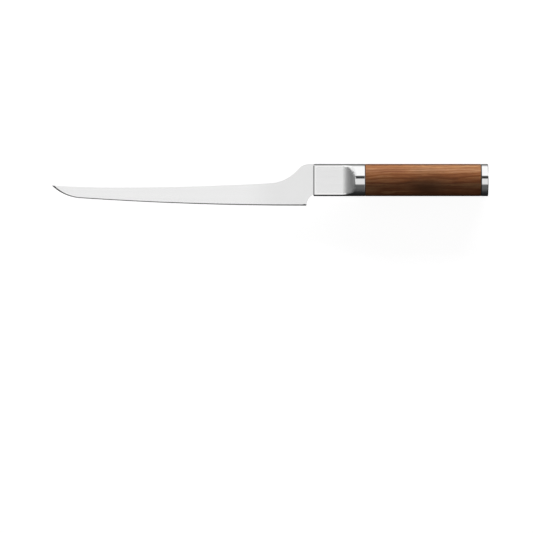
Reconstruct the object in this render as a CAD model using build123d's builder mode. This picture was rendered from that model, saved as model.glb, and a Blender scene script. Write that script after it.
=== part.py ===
from build123d import *
import os
from math import acos, cos, degrees, radians, sin, tan

os.makedirs("parts", exist_ok=True)

# A fillet knife lying on its side, in millimetres. +X runs from the point to the butt, +Y from
# the cutting edge to the spine and +Z up, through the blade's thickness. The origin is under the
# middle of the knife, on the surface that the handle lies on.

# Blade, seen from its side. Reaches are measured forward from the bolster's front face, drops
# downward from the handle's axis, and rises upward from the heel corner.
edge_length = 180.0
heel_setback = 4.7
blade_height = 15.95
neck_drop = 2.2
tip_rise = 14.3
belly_rise = 5.4
belly_to_tip = 19.9
spine_slope = 3.15
spine_radius = 2020.0
neck_radius = 28.0
shoulder_radius = 10.2
shoulder_land = 2.8
heel_corner_radius = 0.7

# Blade thickness: a flat wedge from the spine to the edge and from the bolster to the point,
# then a narrow honed bevel along the cutting edge.
stock_thickness = 2.2
heel_thickness = 0.64
tip_thickness = 0.8
edge_thickness = 0.06
bevel_angle = 18.0

# Stick tang, thinner than the blade: a root in the bolster's slot, then a tail in its bore.
tang_thickness = 1.1
tang_length = 9.0
tang_height = 13.0
tang_gap = 0.08
tail_length = 17.0
tail_height = 5.4

# Bolster: a round bar with two milled flats that run out in a concave ramp.
handle_diameter = 22.8
bolster_length = 36.4
across_flats = 9.4
flat_length = 20.0
ramp_radius = 10.5
flat_width = 18.1
rim_width = 2.0
rim_angle = 4.0
front_round = 1.1
edge_break = 0.3
spigot_diameter = 14.0
spigot_length = 4.0
spigot_gap = 0.1

# Fibre liners between steel and wood, set back a little from the handle's surface.
liner_thickness = 0.4
liner_setback = 0.12

# Walnut grip and steel end cap.
grip_length = 81.5
grip_bore_gap = 0.5
cap_length = 4.9
cap_boss_diameter = 14.8
cap_boss_length = 4.0
cap_bore_depth = 6.4
cap_edge = 0.4
cap_boss_gap = 0.1

# Draw rod, riveted to the tail, and the stack that tightens it inside the grip.
rod_diameter = 6.0
rod_gap = 0.25
thread_gap = 0.05
fork_setback = 1.0
fork_gap = 0.1
rod_end_gap = 0.3
rod_chamfer = 0.6
rivet_diameter = 2.0
rivet_gap = 0.03
rivet_setback = 0.05
rivet_shares = (0.28, 0.74)
washer_diameter = 14.4
washer_thickness = 2.0
washer_gap = 0.2
spring_diameter = 11.8
spring_thickness = 1.6
spring_gap = 0.1
spring_split = 0.9
spring_split_angle = 25.0
nut_across_flats = 10.0
nut_thickness = 5.0
nut_corner_angle = 30.0
nut_end_gap = 0.5

# How far a cutting body runs past the surface it cuts.
overrun = 2.0

# Lengths that follow from the sizes above
handle_radius = handle_diameter / 2
tip_reach = edge_length + heel_setback
heel_drop = neck_drop + blade_height
tip_drop = heel_drop - tip_rise
belly_drop = heel_drop - belly_rise
flat_height = across_flats / 2
tail_end = tang_length + tail_length

# Stations along the handle, measured back from the bolster's front face
grip_front = bolster_length + liner_thickness
grip_rear = grip_front + grip_length
cap_front = grip_rear + liner_thickness
butt = cap_front + cap_length
front_pocket = spigot_length - liner_thickness + spigot_gap
stack_length = washer_thickness + spring_thickness + nut_thickness + nut_end_gap
rear_pocket = stack_length + cap_boss_length - liner_thickness
washer_front = grip_rear - rear_pocket
spring_front = washer_front + washer_thickness
nut_front = spring_front + spring_thickness
fork_front = tang_length + fork_setback
rod_end = cap_front - cap_boss_length + cap_bore_depth - rod_end_gap

# The knife's own frame: where the bolster's front face crosses the handle's axis
front_x = (tip_reach - butt) / 2
axis_y = (heel_drop - handle_radius) / 2
axis_z = handle_radius


def at(x, y, z):
    """A point given from the middle of the bolster's front face."""
    return Vector(front_x + x, axis_y + y, axis_z + z)


def across(x):
    """The plane square to the handle at a station, facing the butt."""
    return Plane(origin=at(x, 0, 0), x_dir=(0, 1, 0), z_dir=(1, 0, 0))


side = Plane(origin=at(0, 0, 0))
handle_axis = Axis(at(0, 0, 0), (1, 0, 0))

# One side of the blade's wedge, through the spine at the bolster, the heel and the point
spine_corner = at(0, handle_radius, stock_thickness / 2)
heel_corner = at(-heel_setback, -heel_drop, heel_thickness / 2)
tip_corner = at(-tip_reach, -tip_drop, tip_thickness / 2)
wedge_normal = (tip_corner - spine_corner).cross(heel_corner - spine_corner).normalized()
wedge_side = Plane(origin=spine_corner, z_dir=wedge_normal)

# Cutting edge from the heel: a long belly that turns up to the point
with BuildLine() as cutting_edge:
    belly = TangentArc(
        (-heel_setback, -heel_drop), (belly_to_tip - tip_reach, -belly_drop), tangent=(-1, 0)
    )
    upsweep = TangentArc(belly @ 1, (-tip_reach, -tip_drop), tangent=belly % 1)

# Space that the honed bevel leaves for one half of the blade: its lower boundary is the cutting
# edge, and it leans in at the bevel angle. The other sides lie well clear of the blade.
bevel_inset = (stock_thickness - edge_thickness / 2) / tan(radians(bevel_angle))
clear_of_blade = heel_drop + handle_radius
with BuildSketch() as edge_field:
    with BuildLine():
        add(cutting_edge.line)
        past_tip = Line(upsweep @ 1, upsweep @ 1 + (upsweep % 1) * clear_of_blade)
        past_heel = Line((-heel_setback, -heel_drop), (clear_of_blade, -heel_drop))
        Polyline(
            past_heel @ 1,
            (clear_of_blade, handle_radius + clear_of_blade),
            ((past_tip @ 1).X, handle_radius + clear_of_blade),
            past_tip @ 1,
        )
    make_face()

with BuildPart() as bevel_space:
    with BuildSketch(side):
        add(edge_field.sketch)
    extrude(amount=edge_thickness / 2)
    with BuildSketch(side.offset(edge_thickness / 2)):
        add(edge_field.sketch)
    with BuildSketch(side.offset(stock_thickness)):
        offset(edge_field.sketch, amount=-bevel_inset)
    loft(ruled=True)

# Blade with its tang, made as one half and mirrored. The blade ends in a shoulder at the bolster.
neck_fall = shoulder_radius + neck_radius * cos(radians(spine_slope)) - handle_radius - neck_drop
neck_turn = degrees(acos(neck_fall / (shoulder_radius + neck_radius)))
notch_drop = handle_radius - front_round
rivet_stations = [fork_front + share * (tail_end - fork_front) for share in rivet_shares]
with BuildPart() as blade:
    with BuildSketch(side) as outline:
        with BuildLine():
            add(cutting_edge.line)
            spine_top = Line((0, handle_radius), (-shoulder_land, handle_radius))
            shoulder = JernArc(spine_top @ 1, (-1, 0), shoulder_radius, neck_turn)
            neck = JernArc(shoulder @ 1, shoulder % 1, neck_radius, spine_slope - neck_turn)
            spine = JernArc(neck @ 1, neck % 1, spine_radius, -spine_slope)
            TangentArc(spine @ 1, (-tip_reach, -tip_drop), tangent=spine % 1)
            TangentArc((-heel_setback, -heel_drop), (0, -notch_drop), tangent=(0, 1))
            Line((0, -notch_drop), (0, handle_radius))
        make_face()
        fillet(outline.vertices().sort_by(Axis.Y)[0], heel_corner_radius)
    extrude(amount=stock_thickness)
    split(bisect_by=wedge_side, keep=Keep.BOTTOM)
    add(bevel_space.part, mode=Mode.INTERSECT)
    with BuildSketch(side):
        with Locations((tang_length / 2, 0)):
            Rectangle(tang_length, tang_height)
        with Locations((tail_end / 2, 0)):
            Rectangle(tail_end, tail_height)
        with Locations([(station, 0) for station in rivet_stations]):
            Circle(rivet_diameter / 2 + rivet_gap, mode=Mode.SUBTRACT)
    extrude(amount=tang_thickness / 2)
    mirror(about=side)


def flat_cutter(turn, height):
    """The milling cut of one flat: level to the ramp, then up the ramp and out of the bar."""
    lift = handle_radius + overrun - height
    ramp_angle = degrees(acos((ramp_radius - lift) / ramp_radius))
    profile_plane = Plane(origin=at(0, 0, 0), x_dir=(1, 0, 0), z_dir=(0, -1, 0))
    with BuildPart(mode=Mode.PRIVATE) as cutter:
        with BuildSketch(profile_plane.rotated((turn, 0, 0))):
            with BuildLine():
                level = Line((-overrun, height), (flat_length, height))
                ramp = JernArc(level @ 1, (1, 0), ramp_radius, ramp_angle)
                Polyline(ramp @ 1, (-overrun, (ramp @ 1).Y), (-overrun, height))
            make_face()
        extrude(amount=handle_radius + overrun, both=True)
    return cutter.part


# The rim slopes away from the flat along its two long sides and its front, where it rolls over
# into the bolster's front face
rim_height = flat_width / 2 * sin(radians(rim_angle)) + flat_height * cos(radians(rim_angle))
roll_start = front_round * (1 - sin(radians(rim_angle)))
flat_cuts = []
for face_turn in (0, 180):
    flat_cuts.append(flat_cutter(face_turn, flat_height))
    flat_cuts.append(flat_cutter(face_turn + rim_angle, rim_height))
    flat_cuts.append(flat_cutter(face_turn - rim_angle, rim_height))

with BuildPart() as bolster:
    with BuildSketch(across(0)):
        Circle(handle_radius)
    extrude(amount=bolster_length)
    fillet(bolster.faces().sort_by(Axis.X)[0].edges(), front_round)
    add(flat_cuts, mode=Mode.SUBTRACT)
    with BuildSketch(Plane(origin=at(0, 0, 0), x_dir=(1, 0, 0), z_dir=(0, -1, 0))):
        with BuildLine():
            rim_fall = (rim_width - roll_start) * tan(radians(rim_angle))
            rim = Line((rim_width, flat_height), (roll_start, flat_height - rim_fall))
            roll = JernArc(rim @ 1, rim % 1, front_round, 90 - rim_angle)
            Polyline(
                roll @ 1,
                (-overrun, (roll @ 1).Y),
                (-overrun, handle_radius),
                (rim_width, handle_radius),
                rim @ 0,
            )
        make_face()
        mirror(about=Plane.XZ)
    extrude(amount=handle_radius + overrun, both=True, mode=Mode.SUBTRACT)
    chamfer(bolster.faces().sort_by(Axis.X)[-1].outer_wire().edges(), edge_break)
    with BuildSketch(across(bolster_length)):
        Circle(spigot_diameter / 2)
    extrude(amount=spigot_length)
    chamfer(bolster.faces().sort_by(Axis.X)[-1].edges(), edge_break)
    with BuildSketch(side):
        with Locations(((tang_length + tang_gap - overrun) / 2, 0)):
            Rectangle(tang_length + tang_gap + overrun, tang_height + 2 * tang_gap)
    extrude(amount=tang_thickness / 2 + tang_gap, both=True, mode=Mode.SUBTRACT)
    with BuildSketch(across(tang_length)):
        Circle(rod_diameter / 2 + rod_gap)
    extrude(amount=bolster_length, mode=Mode.SUBTRACT)

# Draw rod, slit at its front to straddle the tail
with BuildPart() as tang_rod:
    with BuildSketch(across(fork_front)):
        Circle(rod_diameter / 2)
    extrude(amount=rod_end - fork_front)
    chamfer(tang_rod.faces().sort_by(Axis.X)[-1].edges(), rod_chamfer)
    with BuildSketch(side):
        with Locations(((fork_front + tail_end + fork_gap) / 2, 0)):
            Rectangle(tail_end + fork_gap - fork_front, rod_diameter)
    extrude(amount=tang_thickness / 2 + fork_gap, both=True, mode=Mode.SUBTRACT)
    with BuildSketch(side):
        with Locations([(station, 0) for station in rivet_stations]):
            Circle(rivet_diameter / 2 + rivet_gap)
    extrude(amount=rod_diameter, both=True, mode=Mode.SUBTRACT)

# Two rivets through the fork and the tail
with BuildPart() as tang_rivets:
    with BuildSketch(side):
        with Locations([(station, 0) for station in rivet_stations]):
            Circle(rivet_diameter / 2)
    extrude(amount=rod_diameter / 2 - rivet_setback, both=True)


def liner_ring(station, inner_radius):
    """A flat fibre ring at a station, around a steel spigot."""
    with BuildPart(mode=Mode.PRIVATE) as ring:
        with BuildSketch(across(station)):
            Circle(handle_radius - liner_setback)
            Circle(inner_radius, mode=Mode.SUBTRACT)
        extrude(amount=liner_thickness)
    return ring.part


with BuildPart() as front_liner:
    add(liner_ring(bolster_length, spigot_diameter / 2 + spigot_gap))

with BuildPart() as rear_liner:
    add(liner_ring(grip_rear, cap_boss_diameter / 2 + cap_boss_gap))

# Turned walnut grip with a pocket for the bolster's spigot and one for the tightening stack
with BuildPart() as grip:
    with BuildSketch(across(grip_front)):
        Circle(handle_radius)
    extrude(amount=grip_length)
    chamfer(grip.edges().filter_by(GeomType.CIRCLE), edge_break)
    with BuildSketch(across(grip_front)):
        Circle(spigot_diameter / 2 + spigot_gap)
    extrude(amount=front_pocket, mode=Mode.SUBTRACT)
    with BuildSketch(across(grip_front)):
        Circle(rod_diameter / 2 + grip_bore_gap)
    extrude(amount=grip_length, mode=Mode.SUBTRACT)
    with BuildSketch(across(washer_front)):
        Circle(cap_boss_diameter / 2 + cap_boss_gap)
    extrude(amount=rear_pocket, mode=Mode.SUBTRACT)

with BuildPart() as clamp_washer:
    with BuildSketch(across(washer_front)):
        Circle(washer_diameter / 2)
        Circle(rod_diameter / 2 + washer_gap, mode=Mode.SUBTRACT)
    extrude(amount=washer_thickness)
    chamfer(clamp_washer.faces().sort_by(Axis.X)[-1].outer_wire().edges(), edge_break)

# Spring washer, pressed flat, with its slanted split towards the spine
with BuildPart() as spring_washer:
    with BuildSketch(across(spring_front)):
        Circle(spring_diameter / 2)
        Circle(rod_diameter / 2 + spring_gap, mode=Mode.SUBTRACT)
    extrude(amount=spring_thickness)
    split_middle = at(spring_front + spring_thickness / 2, 0, 0)
    with BuildSketch(Plane(origin=split_middle, z_dir=(0, 1, 0)).rotated((0, 0, spring_split_angle))):
        Rectangle(spring_thickness + 2 * overrun, spring_split)
    extrude(amount=spring_diameter, mode=Mode.SUBTRACT)

# Hexagon nut with its corners turned down to a cone
nut_corner_radius = nut_across_flats / 2 / cos(radians(nut_corner_angle))
nut_corner_fall = (nut_corner_radius - nut_across_flats / 2) * tan(radians(nut_corner_angle))
with BuildPart() as nut_blank:
    with BuildSketch(across(nut_front)):
        Circle(nut_corner_radius)
    extrude(amount=nut_thickness)
    chamfer(
        nut_blank.edges().filter_by(GeomType.CIRCLE).sort_by(Axis.X)[-1],
        nut_corner_fall,
        nut_corner_radius - nut_across_flats / 2,
    )

with BuildPart() as clamp_nut:
    with BuildSketch(across(nut_front)):
        RegularPolygon(nut_across_flats / 2, 6, major_radius=False)
    extrude(amount=nut_thickness)
    add(nut_blank.part, mode=Mode.INTERSECT)
    with BuildSketch(across(nut_front)):
        Circle(rod_diameter / 2 + thread_gap)
    extrude(amount=nut_thickness, mode=Mode.SUBTRACT)

# End cap, screwed on the rod and seated on the rear liner
with BuildPart() as end_cap:
    with BuildSketch(across(cap_front)):
        Circle(handle_radius)
    extrude(amount=cap_length)
    chamfer(end_cap.faces().sort_by(Axis.X)[-1].edges(), cap_edge)
    chamfer(end_cap.faces().sort_by(Axis.X)[0].edges(), edge_break)
    with BuildSketch(across(cap_front - cap_boss_length)):
        Circle(cap_boss_diameter / 2)
    extrude(amount=cap_boss_length)
    with BuildSketch(across(cap_front - cap_boss_length)):
        Circle(rod_diameter / 2 + thread_gap)
    extrude(amount=cap_bore_depth, mode=Mode.SUBTRACT)

pieces = {
    "blade": blade,
    "bolster": bolster,
    "tang_rod": tang_rod,
    "tang_rivets": tang_rivets,
    "front_liner": front_liner,
    "grip": grip,
    "clamp_washer": clamp_washer,
    "spring_washer": spring_washer,
    "clamp_nut": clamp_nut,
    "rear_liner": rear_liner,
    "end_cap": end_cap,
}
for name, piece in pieces.items():
    piece.part.label = name
    export_step(piece.part, f"parts/{name}.step")
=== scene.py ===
import math

import bpy
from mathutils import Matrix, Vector


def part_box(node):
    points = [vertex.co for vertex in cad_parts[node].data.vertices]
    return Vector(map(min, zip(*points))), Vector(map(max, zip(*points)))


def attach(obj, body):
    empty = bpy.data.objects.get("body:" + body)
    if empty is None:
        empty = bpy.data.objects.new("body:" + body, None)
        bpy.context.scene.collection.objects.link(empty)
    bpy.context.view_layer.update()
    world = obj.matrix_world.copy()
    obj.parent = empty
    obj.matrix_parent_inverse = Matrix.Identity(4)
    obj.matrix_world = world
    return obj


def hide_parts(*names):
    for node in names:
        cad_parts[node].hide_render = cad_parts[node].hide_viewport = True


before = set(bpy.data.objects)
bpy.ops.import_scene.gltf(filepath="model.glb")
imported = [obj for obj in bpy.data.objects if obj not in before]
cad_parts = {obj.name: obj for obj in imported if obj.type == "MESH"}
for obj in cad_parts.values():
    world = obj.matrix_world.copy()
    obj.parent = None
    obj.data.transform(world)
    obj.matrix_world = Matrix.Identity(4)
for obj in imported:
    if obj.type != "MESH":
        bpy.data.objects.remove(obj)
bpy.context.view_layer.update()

# Camera: straight down from far off, as a shop photograph of a knife is taken. The knife lies on
# its side in the upper half of a square frame, point to -X and edge to -Y. Every place on it is
# reckoned from the point where the handle's axis leaves the bolster's front face.
mm = 0.001
cap_low, cap_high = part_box("end_cap")
bolster_low, bolster_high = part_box("bolster")
front = Vector((bolster_low.x, (cap_low.y + cap_high.y) / 2, (cap_low.z + cap_high.z) / 2))
frame_width = 376.7 * mm
frame_middle = front + Vector((-33.0 * mm, -61.1 * mm, 0))
camera_height = 5.0
sensor_width = 36.0
camera_data = bpy.data.cameras.new("shop_camera")
camera_data.sensor_width = sensor_width
camera_data.lens = sensor_width * camera_height / frame_width
camera = bpy.data.objects.new("shop_camera", camera_data)
camera.location = frame_middle + Vector((0, 0, camera_height))
bpy.context.scene.collection.objects.link(camera)
bpy.context.scene.camera = camera
bpy.context.scene.view_settings.view_transform = "Standard"


# Floor: a wide pale board with a faint tooth. It reads as plain white and keeps the knife's soft
# shadow. Every finish from here on is written with the two classes below: a Finish makes the
# nodes of one material, and a Strand is one output of a node, which takes sums and products.
class Strand:
    """One output of a finish's node."""

    def __init__(self, finish, socket):
        self.finish = finish
        self.socket = socket

    def maths(self, operation, *values):
        return self.finish.add("ShaderNodeMath", {"operation": operation}, values)

    def __add__(self, other):
        return self.maths("ADD", self, other)

    def __radd__(self, other):
        return self.maths("ADD", other, self)

    def __sub__(self, other):
        return self.maths("SUBTRACT", self, other)

    def __rsub__(self, other):
        return self.maths("SUBTRACT", other, self)

    def __mul__(self, other):
        return self.maths("MULTIPLY", self, other)

    def __rmul__(self, other):
        return self.maths("MULTIPLY", other, self)

    def __truediv__(self, other):
        return self.maths("DIVIDE", self, other)

    def __rtruediv__(self, other):
        return self.maths("DIVIDE", other, self)

    def __pow__(self, other):
        return self.maths("POWER", self, other)

    def __rpow__(self, other):
        return self.maths("POWER", other, self)

    def __abs__(self):
        return self.maths("ABSOLUTE", self)

    def larger(self, other):
        return self.maths("MAXIMUM", self, other)

    def step(self, low, high):
        """0 at low, 1 at high and a smooth rise between."""
        settings = {"interpolation_type": "SMOOTHSTEP"}
        inputs = {"Value": self, "From Min": low, "From Max": high}
        return self.finish.add("ShaderNodeMapRange", settings, inputs)


class Finish:
    """The nodes of one material, or of the tree that is given."""

    def __init__(self, name, tree=None):
        if tree is None:
            self.material = bpy.data.materials.new(name)
            self.material.use_nodes = True
            tree = self.material.node_tree
        self.tree = tree
        self.tree.nodes.clear()

    def add(self, kind, settings=None, inputs=(), output=0):
        """A node: its type and settings first, then the values or links of its inputs."""
        node = self.tree.nodes.new(kind)
        for key, value in (settings or {}).items():
            if key == "stops":
                self.set_stops(node.color_ramp, value)
            else:
                setattr(node, key, value)
        pairs = inputs.items() if isinstance(inputs, dict) else enumerate(inputs)
        for key, value in pairs:
            if isinstance(value, Strand):
                self.tree.links.new(value.socket, node.inputs[key])
            else:
                node.inputs[key].default_value = value
        return Strand(self, node.outputs[output]) if node.outputs else None

    def set_stops(self, ramp, stops):
        while len(ramp.elements) < len(stops):
            ramp.elements.new(1.0)
        for element, (position, colour) in zip(ramp.elements, stops):
            element.position = position
            element.color = (*colour, 1.0)

    def where(self):
        """Places on the object, in metres in its own frame."""
        return self.add("ShaderNodeTexCoord", output="Object")

    def facing(self):
        """The surface's direction in the object's own frame."""
        return self.add("ShaderNodeTexCoord", output="Normal")

    def parts(self, vector):
        """The X, Y and Z of a vector."""
        return [self.add("ShaderNodeSeparateXYZ", inputs=[vector], output=k) for k in range(3)]

    def stretch(self, vector, scale):
        """Places scaled differently along each axis, as a grain or a brushing is."""
        return self.add("ShaderNodeVectorMath", {"operation": "MULTIPLY"}, [vector, scale])

    def noise(self, vector, scale=1.0, detail=3.0, roughness=0.5, distortion=0.0):
        inputs = {
            "Vector": vector,
            "Scale": scale,
            "Detail": detail,
            "Roughness": roughness,
            "Distortion": distortion,
        }
        return self.add("ShaderNodeTexNoise", inputs=inputs)

    def ramp(self, share, stops):
        """A colour for each share, blended between the stops."""
        return self.add("ShaderNodeValToRGB", {"stops": stops}, [share])

    def blend(self, share, first, second):
        """Two colours mixed by a share. Inputs 6 and 7 are the node's pair of colours."""
        inputs = {"Factor": share, 6: first, 7: second}
        return self.add("ShaderNodeMix", {"data_type": "RGBA"}, inputs, output=2)

    def bump(self, height, distance, under=None):
        inputs = {"Height": height, "Distance": distance}
        if under is not None:
            inputs["Normal"] = under
        return self.add("ShaderNodeBump", inputs=inputs)

    def seen(self):
        """1 where the surface is looked at, straight or in a mirror, and 0 where it only lights."""
        kinds = ("Is Camera Ray", "Is Glossy Ray", "Is Transmission Ray")
        straight, mirrored, through = [
            self.add("ShaderNodeLightPath", output=kind) for kind in kinds
        ]
        return straight.larger(mirrored).larger(through)

    def surface(self, shader):
        """Ends the material in a shader."""
        self.add("ShaderNodeOutputMaterial", inputs=[shader])
        return self.material

    def glow(self, colour, strength=1.0):
        return self.add("ShaderNodeEmission", inputs={"Color": colour, "Strength": strength})

    def principled(self, **values):
        """Ends the material in a Principled shader with these values."""
        inputs = {key.replace("_", " "): value for key, value in values.items()}
        return self.surface(self.add("ShaderNodeBsdfPrincipled", inputs=inputs))


def grey(level):
    return (level, level, level, 1.0)


floor_size = 12.0
floor_drop = 0.05 * mm
tooth_height = 0.02 * mm
tooth_scale = 900.0
floor_glow = 0.925
floor_paint = Finish("floor_board")
tooth = floor_paint.noise(floor_paint.where(), scale=tooth_scale)
board_inputs = {
    "Color": floor_paint.blend(tooth, grey(0.28), grey(0.32)),
    "Normal": floor_paint.bump(tooth, tooth_height),
}
board = floor_paint.add("ShaderNodeBsdfDiffuse", inputs=board_inputs)
whiteness = floor_paint.glow(grey(1.0), floor_paint.seen() * floor_glow)
floor_surface = floor_paint.add("ShaderNodeAddShader", inputs=[board, whiteness])
bpy.ops.mesh.primitive_plane_add(size=floor_size, location=(0, 0, -floor_drop))
floor = bpy.context.object
floor.name = "floor"
floor.data.materials.append(floor_paint.surface(floor_surface))

# Light: a white room that looks brighter than it lights, and one soft box that stands low on the
# spine's side and lays the knife's soft shadow on the edge's side.
room_white = 0.97
room_light = 0.18
world = bpy.data.worlds.new("white_room")
world.use_nodes = True
room = Finish("room", world.node_tree)
room_strength = room.seen() * (room_white - room_light) + room_light
room_inputs = {"Color": grey(1.0), "Strength": room_strength}
room_air = room.add("ShaderNodeBackground", inputs=room_inputs)
room.add("ShaderNodeOutputWorld", inputs=[room_air])
bpy.context.scene.world = world

box_length = 1.6
box_height = 0.5
box_power = 26.0
box_distance = 1.3
box_lean = math.radians(75.0)
soft_box_data = bpy.data.lights.new("soft_box", "AREA")
soft_box_data.shape = "RECTANGLE"
soft_box_data.size = box_length
soft_box_data.size_y = box_height
soft_box_data.energy = box_power
soft_box = bpy.data.objects.new("soft_box", soft_box_data)
box_way = Vector((0, math.sin(box_lean), math.cos(box_lean)))
soft_box.location = front + box_way * box_distance
soft_box.rotation_euler = box_way.to_track_quat("Z", "Y").to_euler()
soft_box.visible_glossy = False
bpy.context.scene.collection.objects.link(soft_box)


# Cards: what the steel mirrors. Far curved cards around the knife stand for the white, grey and
# black ones of a photo studio, and mats on the floor shade the steel's lower sides. Only
# mirror-like surfaces show them.
handle_radius = (cap_high.y - cap_low.y) / 2
card_radius = 4.0
card_facets = 24
mat_thickness = 0.01 * mm


def set_up_card(name, corners, faces, shade_of, place):
    paint = Finish(name)
    mesh = bpy.data.meshes.new(name)
    mesh.from_pydata(corners, [], faces)
    mesh.materials.append(paint.surface(paint.glow(shade_of(paint))))
    piece = bpy.data.objects.new(name, mesh)
    piece.location = place
    bpy.context.scene.collection.objects.link(piece)
    piece.visible_camera = False
    piece.visible_diffuse = False
    piece.visible_shadow = False


def curved_card(name, heading, stops, left_turn, right_turn):
    """A card bent around the handle, reaching so many degrees to the left and right of its heading.
    Each stop gives an angle from straight up and the card's shade there."""
    heading = Vector(heading)
    right = heading.cross(Vector((0, 0, 1))) * card_radius
    right_reach = right * math.tan(math.radians(right_turn))
    left_reach = right * math.tan(math.radians(left_turn))
    first = stops[0][0]
    last = stops[-1][0]
    corners = []
    for k in range(card_facets + 1):
        turn = math.radians(first + (last - first) * k / card_facets)
        rim = (heading * math.sin(turn) + Vector((0, 0, math.cos(turn)))) * card_radius
        corners += [rim - left_reach, rim + right_reach]
    faces = [(k, k + 1, k + 3, k + 2) for k in range(0, 2 * card_facets, 2)]

    def shade_of(paint):
        spot = paint.where()
        ahead = paint.add(
            "ShaderNodeVectorMath", {"operation": "DOT_PRODUCT"}, [spot, heading], output="Value"
        )
        half_turns = ahead.maths("ARCTAN2", ahead, paint.parts(spot)[2]) / math.pi
        return paint.ramp(half_turns, [(angle / 180, (s, s, s)) for angle, s in stops])

    set_up_card(name, corners, faces, shade_of, Vector((bolster_high.x, front.y, front.z)))


def floor_mat(name, reach, layer, stops):
    """A card flat on the floor along the handle's axis. Each stop gives a distance from the axis
    towards the spine and the mat's shade there."""
    near = stops[0][0]
    far = stops[-1][0]
    corners = [(x, y, 0) for x in (-reach, reach) for y in (near, far)]

    def shade_of(paint):
        share = (paint.parts(paint.where())[1] - near) / (far - near)
        return paint.ramp(share, [((away - near) / (far - near), (s, s, s)) for away, s in stops])

    place = Vector((bolster_high.x, front.y, layer * mat_thickness))
    set_up_card(name, corners, [(0, 1, 3, 2)], shade_of, place)


bright = 1.27
spine_stops = [
    (8, 0.9),
    (11, 0.06),
    (27, 0.06),
    (33, bright),
    (57, bright),
    (63, 0.45),
    (90, 0.3),
]
white_stops = [(18, 0.97), (30, 1.08), (44, 1.2), (52, 1.15), (62, 0.45), (90, 0.3)]
edge_stops = [(28, 0.95), (35, 0.22), (41, 0.135), (60, 0.135), (90, 0.07)]
corner_stops = [(20, 0.97), (30, 0.85), (42, 0.32), (60, 0.17), (90, 0.09)]
point_stops = [
    (9, 0.95),
    (14, 0.75),
    (21, 0.66),
    (29.5, 0.52),
    (38, 0.41),
    (47, 0.33),
    (58, 0.27),
    (72, 0.24),
    (86, 0.18),
    (96, 0.12),
]
diagonal = math.sqrt(0.5)
spine_way = (0, 1, 0)
edge_way = (0, -1, 0)
point_way = (-1, 0, 0)
spine_and_point = (-diagonal, diagonal, 0)
edge_and_point = (-diagonal, -diagonal, 0)
curved_card("spine_card", spine_way, spine_stops, left_turn=3, right_turn=14)
curved_card("white_card", spine_and_point, white_stops, left_turn=28, right_turn=40)
curved_card("edge_card", edge_way, edge_stops, left_turn=30, right_turn=30)
curved_card("corner_card", edge_and_point, corner_stops, left_turn=31, right_turn=31)
curved_card("point_card", point_way, point_stops, left_turn=14, right_turn=14)

mat_reach = 4.0
side_reach = 0.3
around_stops = [
    (-mat_reach, 0.6),
    (-400 * mm, 0.4),
    (-30 * mm, 0.14),
    (30 * mm, 0.14),
    (400 * mm, 0.4),
    (mat_reach, 0.6),
]
edge_mat_stops = [(-mat_reach, 0.06), (-90 * mm, 0.035), (-handle_radius, 0.01)]
spine_mat_stops = [
    (handle_radius, 0.12),
    (20 * mm, 0.18),
    (29 * mm, 0.32),
    (38 * mm, 0.9),
    (48 * mm, 1.2),
    (mat_reach, bright),
]
floor_mat("around_mat", mat_reach, layer=1, stops=around_stops)
floor_mat("edge_mat", side_reach, layer=2, stops=edge_mat_stops)
floor_mat("spine_mat", side_reach, layer=2, stops=spine_mat_stops)

# A folded white card stands close behind the bolster and the handle, where the blade never
# mirrors it.
fold_start = Vector((-11 * mm, 18 * mm, 0))
fold = Vector((21 * mm, 50 * mm, 0))
fold_end = Vector((190 * mm, 50 * mm, 0))
fold_height = 50 * mm
fold_layer = 3
fold_rise = Vector((0, 0, fold_height))
fold_foot = [fold_start, fold, fold_end]
fold_corners = fold_foot + [corner + fold_rise for corner in reversed(fold_foot)]


def fold_shade(paint):
    share = (paint.parts(paint.where())[0] - fold_start.x) / (fold_end.x - fold_start.x)
    return paint.ramp(share, [(0.1, (1.0, 1.0, 1.0)), (0.2, (bright, bright, bright))])


fold_place = Vector((front.x, front.y, fold_layer * mat_thickness))
set_up_card("folded_card", fold_corners, [(0, 1, 4, 5), (1, 2, 3, 4)], fold_shade, fold_place)

# Bolster: a round stainless bar, turned and polished, with two milled flats that run out in a
# concave ramp. The flats are belted to a satin, and a polished rim slopes away around them. The
# blade's tang runs through its slot, and its rear spigot carries the grip.
flat_height = 4.7 * mm
flat_width = 18.1 * mm
flat_length = 20.0 * mm
ramp_radius = 9.9 * mm
rim_width = 2.0 * mm
rim_slope = math.tan(math.radians(2.0))
rim_corner = 1.5 * mm
front_round = 1.1 * mm
rear_round = 0.15 * mm
bolster_length = 36.4 * mm
rim_steepening = 1.3
flat_edge_round = 0.15 * mm
ramp_edge_round = 0.3 * mm
ramp_side_round = 2.9 * mm
round_growth_share = 0.75
round_growth_power = 3
side_turn_share = 0.45
spigot_radius = 7.0 * mm
spigot_end = 40.4 * mm
slot_half_height = 6.58 * mm
slot_half_width = 0.63 * mm
slot_end = 9.08 * mm
bore_radius = 3.25 * mm
settle_rounds = 6
tiny = 1e-9


def skin(name, loops, turns, closed=False, sharp=30.0):
    """A mesh through loops around the handle's axis. Each loop is a station behind the bolster's
    front face and the radii at the turns, which are measured from straight up to the spine."""
    corners = []
    for station, radii in loops:
        for turn, radius in zip(turns, radii):
            aside = Vector((station, radius * math.sin(turn), radius * math.cos(turn)))
            corners.append(front + aside)
    count = len(turns)
    faces = []
    for k in range(len(loops) if closed else len(loops) - 1):
        here = k * count
        there = (k + 1) % len(loops) * count
        for m in range(count):
            n = (m + 1) % count
            faces.append((here + m, here + n, there + n, there + m))
    mesh = bpy.data.meshes.new(name)
    mesh.from_pydata(corners, [], faces)
    mesh.shade_smooth()
    mesh.set_sharp_from_angle(angle=math.radians(sharp))
    piece = bpy.data.objects.new(name, mesh)
    bpy.context.scene.collection.objects.link(piece)
    return piece


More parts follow.
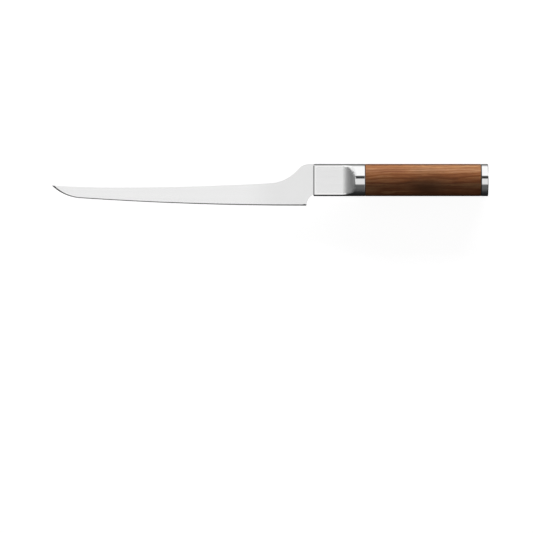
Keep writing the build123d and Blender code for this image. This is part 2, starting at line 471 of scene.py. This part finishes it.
def soft_least(first, second, reach):
    """The lesser of two distances, rounded where they are within a reach of each other."""
    closeness = max(reach - abs(first - second), 0) / reach
    return min(first, second) - closeness * closeness * reach / 4


def flat_level(station, aside):
    """Height of the milled surface over the axis, with its ramp and its sloping rim."""
    run = max(station - flat_length, 0)
    if run >= ramp_radius:
        return 2 * handle_radius
    drop = math.sqrt(ramp_radius * ramp_radius - run * run)
    slope = rim_slope + rim_steepening * (run / ramp_radius) ** 2
    past_front = rim_width + rim_corner - station
    past_side = abs(aside) - flat_width / 2 + rim_corner
    past = math.hypot(max(past_front, 0), max(past_side, 0)) - rim_corner
    return flat_height + ramp_radius - drop - max(past, 0) * slope


def bolster_radius(station, turn, sunk):
    """Distance from the axis to the bolster's outside, less what an end's rounding takes."""
    round_part = handle_radius - sunk
    up = abs(math.cos(turn))
    climb = min(max(station - flat_length, 0) / (round_growth_share * ramp_radius), 1)
    ramp_reach = ramp_edge_round + ramp_side_round * min(abs(math.sin(turn)) / side_turn_share, 1)
    reach = flat_edge_round + (ramp_reach - flat_edge_round) * climb**round_growth_power
    radius = round_part
    for settling in range(settle_rounds):
        level = flat_level(station, radius * math.sin(turn)) - sunk
        if level >= (round_part + reach) * up:
            return round_part
        radius = soft_least(round_part, level / up, reach)
    return radius


def rounded_end(end, inward, radius, steps):
    """Stations through a rounded edge at an end, each with the depth that the edge is sunk."""
    stops = []
    for k in range(steps + 1):
        turn = math.pi / 2 * k / steps
        stops.append((end + inward * radius * (1 - math.cos(turn)), radius * (1 - math.sin(turn))))
    return stops


def spaced(first, last, gap):
    """Stations between two, about a gap apart, without the last."""
    count = max(round((last - first) / gap), 1)
    return [(first + (last - first) * k / count, 0.0) for k in range(count)]


def slot_radius(turn):
    """Distance from the axis to the side of the tang's slot."""
    beside = slot_half_width / max(abs(math.cos(turn)), tiny)
    beyond = slot_half_height / max(abs(math.sin(turn)), tiny)
    return min(beside, beyond)


# Turns are close together where a flat meets the round bar, and stations where a shape bends.
turn_count = 480
meet_start = 54.0
meet_gap = 0.2
meet_count = 72
slot_corner = math.atan2(slot_half_height, slot_half_width)
bore_meet = math.acos(slot_half_width / bore_radius)
flat_meets = [math.radians(meet_start + meet_gap * k) for k in range(meet_count)]
quarter = [slot_corner, bore_meet] + flat_meets
half = quarter + [math.pi - turn for turn in quarter]
even_turns = [2 * math.pi * k / turn_count for k in range(turn_count)]
turns = sorted(even_turns + half + [turn + math.pi for turn in half])
slot_radii = [slot_radius(turn) for turn in turns]
fine_gap = 0.2 * mm
even_gap = 5 * mm
rear_gap = 2 * mm
rim_end = rim_width + 2 * rim_corner
ramp_end = flat_length + ramp_radius
outside = rounded_end(0.0, inward=1, radius=front_round, steps=8)[:-1]
outside += spaced(front_round, rim_end, fine_gap)
outside += spaced(rim_end, flat_length, even_gap)
outside += spaced(flat_length, ramp_end, fine_gap)
outside += spaced(ramp_end, bolster_length - rear_round, rear_gap)
outside += rounded_end(bolster_length, inward=-1, radius=rear_round, steps=4)[::-1]
loops = [(0.0, slot_radii)]
loops += [(x, [bolster_radius(x, turn, sunk) for turn in turns]) for x, sunk in outside]
for x, radius in (
    (bolster_length, spigot_radius),
    (spigot_end - rear_round, spigot_radius),
    (spigot_end, spigot_radius - rear_round),
    (spigot_end, bore_radius),
    (slot_end, bore_radius),
):
    loops.append((x, [radius] * len(turns)))
loops.append((slot_end, slot_radii))
bolster = skin("bolster_polished", loops, turns, closed=True)
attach(bolster, "root")
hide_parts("bolster")


def hairlines(paint, spot, lean, density):
    """Faint stray scratches at a lean to the handle, as wiping and washing up leave."""
    settings = {"rotation_type": "Z_AXIS"}
    inputs = {"Vector": spot, "Angle": math.radians(lean)}
    leaning = paint.add("ShaderNodeVectorRotate", settings, inputs)
    field = paint.noise(paint.stretch(leaning, (110.0, density, density)), detail=1.0)
    return field.step(0.71, 0.76)


def from_axis(paint, spot):
    """Distance straight out from the handle's axis."""
    y_part, z_part = paint.parts(spot)[1:]
    off_y = y_part - front.y
    off_z = z_part - front.z
    return (off_y * off_y + off_z * off_z) ** 0.5


belt_lines = (70.0, 5200.0, 5200.0)
belt_bands = (14.0, 900.0, 900.0)
lathe_lines = (7000.0, 25.0, 25.0)
milled_depth = 0.02 * mm
milled_blur = 0.04 * mm
satin_blur = 0.05 * mm
wiping_lean = 24.0
wiping_density = 5200.0
bolster_paint = Finish("bolster_steel")
spot = bolster_paint.where()
x_part, y_part = bolster_paint.parts(spot)[:2]
milled_edge = handle_radius - milled_depth
milled = 1 - from_axis(bolster_paint, spot).step(milled_edge - milled_blur, milled_edge)
past_front = (front.x + rim_width + rim_corner - x_part).larger(0)
past_side = (abs(y_part - front.y) - (flat_width / 2 - rim_corner)).larger(0)
past = (past_front * past_front + past_side * past_side) ** 0.5 - rim_corner
satin = milled * (1 - past.step(-satin_blur, satin_blur))
belt = bolster_paint.noise(bolster_paint.stretch(spot, belt_lines), detail=4.0)
turned = bolster_paint.noise(bolster_paint.stretch(spot, lathe_lines), detail=3.0)
cloud = bolster_paint.noise(spot, scale=160.0, detail=3.0)
stray = hairlines(bolster_paint, spot, wiping_lean, wiping_density)
brushing = bolster_paint.noise(bolster_paint.stretch(spot, belt_bands), detail=2.0)
satin_tone = bolster_paint.blend(belt * 0.4 + brushing * 0.6, grey(0.775), grey(0.875))
cloud_tone = bolster_paint.blend(cloud, grey(0.74), grey(0.76))
polished_tone = bolster_paint.blend(milled, cloud_tone, grey(0.87))
relief = belt * satin + turned * (1 - satin) * 0.3 - stray * 0.3
bolster.data.materials.append(
    bolster_paint.principled(
        Base_Color=bolster_paint.blend(satin, polished_tone, satin_tone),
        Metallic=1.0,
        Roughness=0.05 + satin * 0.16 + cloud * 0.04 + stray * 0.05 + (belt - 0.5) * satin * 0.08,
        Normal=bolster_paint.bump(relief, 0.0008 * mm),
    )
)


# Blade: stainless strip, ground to a thin wedge and belted along its length to an even satin,
# then honed on a stone to a narrow bevel along the edge. Painted dark reflection darkens it in
# three places: the ground faces near the bolster, the honed bevel along the edge, and a spot at
# the heel's corner.
def dress(node, material):
    """Gives a construction piece its finish."""
    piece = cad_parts[node]
    piece.data.materials.clear()
    piece.data.materials.append(material)


heel_back = 6.1 * mm
heel_down = 17.4 * mm
heel_reflection_length = 1.3 * mm
heel_reflection_height = 0.6 * mm
blade_paint = Finish("blade_steel")
spot = blade_paint.where()
upright = abs(blade_paint.parts(blade_paint.facing())[2])
ground = upright.step(0.985, 0.995)
belt_field = blade_paint.stretch(spot, (45.0, 4200.0, 900.0))
belt = blade_paint.noise(belt_field, detail=5.0, roughness=0.6)
stone = blade_paint.noise(blade_paint.stretch(spot, (5200.0, 700.0, 700.0)), detail=3.0)
cloud = blade_paint.noise(spot, scale=26.0, detail=3.0)
stray = hairlines(blade_paint, spot, lean=-13.0, density=4600.0)
x_part, y_part = blade_paint.parts(spot)[:2]
ahead = front.x - x_part
below = front.y - y_part
# Painted darker reflection: the ground faces are painted darker toward the bolster.
darker_reflection_near_handle = 1 - ahead.step(24 * mm, 52 * mm)
dark_reflection_toward_point = ahead.step(20 * mm, 95 * mm)
brushing = blade_paint.noise(blade_paint.stretch(spot, (9.0, 800.0, 800.0)), detail=2.0)
grain = belt * 0.3 + brushing * 0.4 + cloud * 0.3
even_tone = blade_paint.blend(grain, grey(0.82), grey(0.925))
ground_and_reflection_tone = blade_paint.blend(darker_reflection_near_handle * 0.42, even_tone, grey(0.72))
# The honed bevel's tone is partly the stone's grey finish and partly painted dark reflection, near
# black toward the point.
bright_hone = blade_paint.blend(stone, grey(0.34), grey(0.47))
hone_and_dark_reflection_tone = blade_paint.blend(dark_reflection_toward_point, bright_hone, grey(0.1))
# A painted dark reflection on the heel's corner.
heel_x = (ahead - heel_back) / heel_reflection_length
heel_y = (below - heel_down) / heel_reflection_height
heel_dark_reflection = 1 - ((heel_x * heel_x + heel_y * heel_y) ** 0.5).step(0.3, 1.1)
blade_tone_and_reflections = blade_paint.blend(ground, hone_and_dark_reflection_tone, ground_and_reflection_tone)
relief = belt * ground + stone * (1 - ground) * 2.0 - stray * 0.2
dress(
    "blade",
    blade_paint.principled(
        Base_Color=blade_paint.blend(heel_dark_reflection * 0.9, blade_tone_and_reflections, grey(0.03)),
        Metallic=1.0,
        Roughness=0.20 - ground * 0.02 + cloud * 0.03 + (belt - 0.5) * 0.08 + stray * 0.04,
        Normal=blade_paint.bump(relief, 0.0006 * mm),
    ),
)

# Liners: thin rings punched from dark fibre board and clamped between steel and wood. Only their
# rims show, as a dark line at each end of the grip.
fibre_paint = Finish("dark_fibre")
fibre_grain = fibre_paint.noise(fibre_paint.where(), scale=4000.0)
fibre = fibre_paint.principled(
    Base_Color=fibre_paint.blend(fibre_grain, (0.02, 0.012, 0.008, 1), (0.05, 0.032, 0.022, 1)),
    Roughness=0.62 + fibre_grain * 0.2,
    Normal=fibre_paint.bump(fibre_grain, 0.01 * mm),
)
dress("front_liner", fibre)
dress("rear_liner", fibre)

# Grip: a sleeve of straight-grained walnut, turned between centres, sanded and oiled. Its growth
# rings run nearly along the handle, its open pores show as short dark dashes, and a dark patch of
# heartwood crosses it behind the middle. Its colour also carries painted light, lighter toward the
# spine, and painted shade along its flanks toward the spine and the edge.
wood = Finish("oiled_walnut")
in_wood = wood.where()
wood_x, wood_y, wood_z = wood.parts(in_wood)
drift = wood.noise(wood.stretch(in_wood, (10.0, 55.0, 55.0)), detail=2.0)
sway = wood.noise(wood.stretch(in_wood, (42.0, 190.0, 190.0)), detail=3.0)
pith_y = 46 * mm
pith_z = -31 * mm
drift_reach = 10 * mm
sway_reach = 2.6 * mm
ring_spacing = 2.3 * mm
ring_slope = 0.035
off_y = wood_y - pith_y
off_z = wood_z - pith_z
from_pith = (off_y * off_y + off_z * off_z) ** 0.5
wander = (drift - 0.5) * drift_reach + (sway - 0.5) * sway_reach
ring = (from_pith + wood_x * ring_slope + wander) / ring_spacing
phase = ring.maths("FRACT", ring)
late_wood = phase.step(0.25, 0.92) * (1 - phase.step(0.92, 1.0))
fibres = wood.noise(wood.stretch(in_wood, (55.0, 2600.0, 2600.0)), detail=4.0, roughness=0.6)
streaks = wood.noise(wood.stretch(in_wood, (18.0, 330.0, 330.0)), detail=4.0, distortion=0.5)
mottle = wood.noise(wood.stretch(in_wood, (60.0, 110.0, 110.0)), detail=2.0)
pore_field = wood.noise(wood.stretch(in_wood, (240.0, 5200.0, 5200.0)), detail=1.5, roughness=0.4)
pores = pore_field.step(0.60, 0.68) * (1 - late_wood * 0.6)
heart_station = front.x + 80 * mm
heart_drop = front.y - 5 * mm
heart_length = 20 * mm
heart_width = 15 * mm
flank_shade_start = 9.6 * mm
flank_shade_full = 10.9 * mm
heart_x = (wood_x - heart_station) / heart_length
heart_y = (wood_y - heart_drop) / heart_width
heart = 1 - ((heart_x * heart_x + heart_y * heart_y) ** 0.5 + (sway - 0.5) * 0.9).step(0.1, 1.0)
rise = (wood_y - front.y) / handle_radius
dark_band = 1 - abs(rise + (sway - 0.5) * 0.5 - 0.15).step(0.05, 0.45)
# The rise term is painted light: the wood is painted lighter toward the spine, where the soft box
# stands.
grain_and_painted_light = (
    0.48
    + rise * 0.05
    - dark_band * 0.13
    + (streaks - 0.5) * 0.56
    + (fibres - 0.5) * 0.42
    + (mottle - 0.5) * 0.25
    - (late_wood - 0.35) * 0.16
)
tone = wood.ramp(
    grain_and_painted_light,
    [
        (0.15, (0.12, 0.034, 0.010)),
        (0.36, (0.24, 0.078, 0.024)),
        (0.54, (0.365, 0.161, 0.063)),
        (0.80, (0.54, 0.31, 0.155)),
    ],
)
# Painted shade: the flanks toward the spine and the edge are painted darker.
flank_painted_shade = abs(wood_y - front.y).step(flank_shade_start, flank_shade_full) * (0.65 + streaks * 0.4)
flank_shaded_tone = wood.blend(flank_painted_shade, tone, (0.08, 0.027, 0.011, 1))
hearted = wood.blend(heart * 0.6, flank_shaded_tone, (0.10, 0.042, 0.016, 1))
pored = wood.blend(pores * 0.6, hearted, (0.05, 0.017, 0.006, 1))
dress(
    "grip",
    wood.principled(
        Base_Color=pored,
        Roughness=0.36 + fibres * 0.1 + pores * 0.3,
        Specular_IOR_Level=0.13,
        Normal=wood.bump(fibres * 0.35 - pores, 0.035 * mm),
    ),
)

# End cap: a round stainless cap, turned and polished like the bolster and screwed on the rod's
# end. Its end face keeps the lathe's fine rings.
ring_lines = 7000.0
cap_paint = Finish("cap_steel")
spot = cap_paint.where()
end_face = abs(cap_paint.parts(cap_paint.facing())[0]).step(0.9, 0.97)
ring_inputs = {"W": from_axis(cap_paint, spot), "Scale": ring_lines, "Detail": 3.0}
rings = cap_paint.add("ShaderNodeTexNoise", {"noise_dimensions": "1D"}, ring_inputs)
turned = cap_paint.noise(cap_paint.stretch(spot, lathe_lines), detail=3.0)
cloud = cap_paint.noise(spot, scale=160.0, detail=3.0)
stray = hairlines(cap_paint, spot, wiping_lean, wiping_density)
relief = rings * end_face + turned * (1 - end_face) * 0.3 - stray * 0.3
dress(
    "end_cap",
    cap_paint.principled(
        Base_Color=cap_paint.blend(cloud, grey(0.74), grey(0.76)),
        Metallic=1.0,
        Roughness=0.05 + end_face * 0.12 + cloud * 0.04 + stray * 0.05,
        Normal=cap_paint.bump(relief, 0.0008 * mm),
    ),
)

# Fastenings inside the handle: a draw rod riveted to the tang's tail, with the two washers and
# the nut that clamp the stack. They are bright drawn and turned steel, never polished.
shop_paint = Finish("plain_steel")
spot = shop_paint.where()
tool_marks = shop_paint.noise(shop_paint.stretch(spot, (4000.0, 300.0, 300.0)), detail=4.0)
stain = shop_paint.noise(spot, scale=300.0, detail=4.0)
plain_steel = shop_paint.principled(
    Base_Color=shop_paint.blend(stain, grey(0.50), grey(0.66)),
    Metallic=1.0,
    Roughness=0.28 + stain * 0.2,
    Normal=shop_paint.bump(tool_marks, 0.003 * mm),
)
for node in ("tang_rod", "tang_rivets", "clamp_washer", "spring_washer", "clamp_nut"):
    dress(node, plain_steel)
